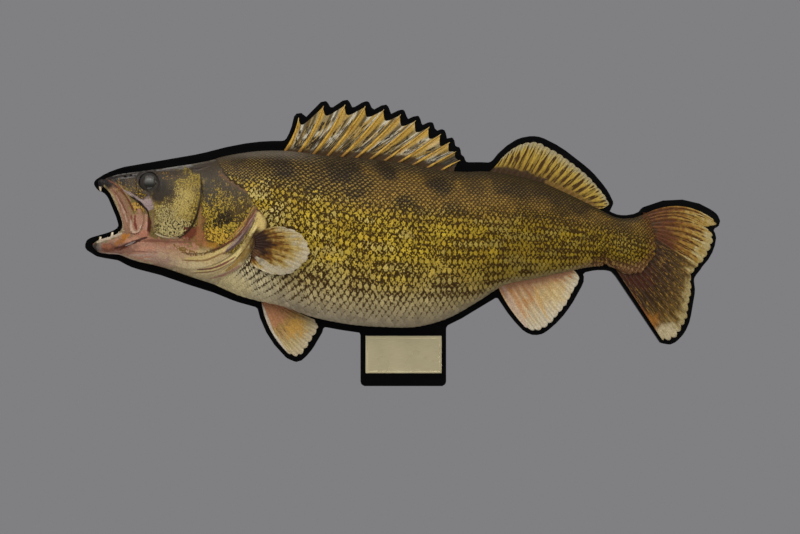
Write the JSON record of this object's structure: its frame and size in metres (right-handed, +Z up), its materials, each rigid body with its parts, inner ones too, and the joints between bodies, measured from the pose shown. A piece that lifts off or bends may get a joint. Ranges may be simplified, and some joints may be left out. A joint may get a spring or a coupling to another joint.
{
  "type": "mounted trophy walleye",
  "caption": "Life-size walleye, mouth open, mounted in half relief on a black board cut to its outline, with a bare brass plate on a tab below.",
  "frame": {"origin": "on the board's flat back, which lies against the wall, near the middle of the fish's length", "axes": "+Z up, +X along the fish from snout to tail, +Y into the wall; the fish shows its left side towards -Y"},
  "size_m": [0.7861, 0.0706, 0.3544],
  "materials": {
    "board": "black, satin gloss",
    "plaque": "brushed",
    "skin": "painted gold and brown scales under a clear coat",
    "head": "painted, clear coat",
    "mouth": "painted pink and cream, clear coat",
    "eye": "polished, clouded",
    "fin": "painted gold rays, clear coat",
    "pale_fin": "painted cream and orange rays, clear coat"
  },
  "bodies": {
    "root": {"board": "board", "plaque": "plaque", "cranium": "head", "snout_side": "head", "cheek": "head", "gill_cover": "head", "upper_jaw": "mouth", "lower_jaw": "mouth", "mouth_lining": "mouth", "gill_membrane": "mouth", "eye": "eye", "shoulder": "skin", "trunk_front": "skin", "trunk_middle": "skin", "trunk_rear": "skin", "tail_stalk": "skin", "dorsal_fin_spiny": "fin", "dorsal_fin_soft": "fin", "tail_fin_upper": "fin", "tail_fin_lower": "fin", "anal_fin": "pale_fin", "pelvic_fin": "pale_fin", "pectoral_fin": "pale_fin"}
  },
  "joints": []
}
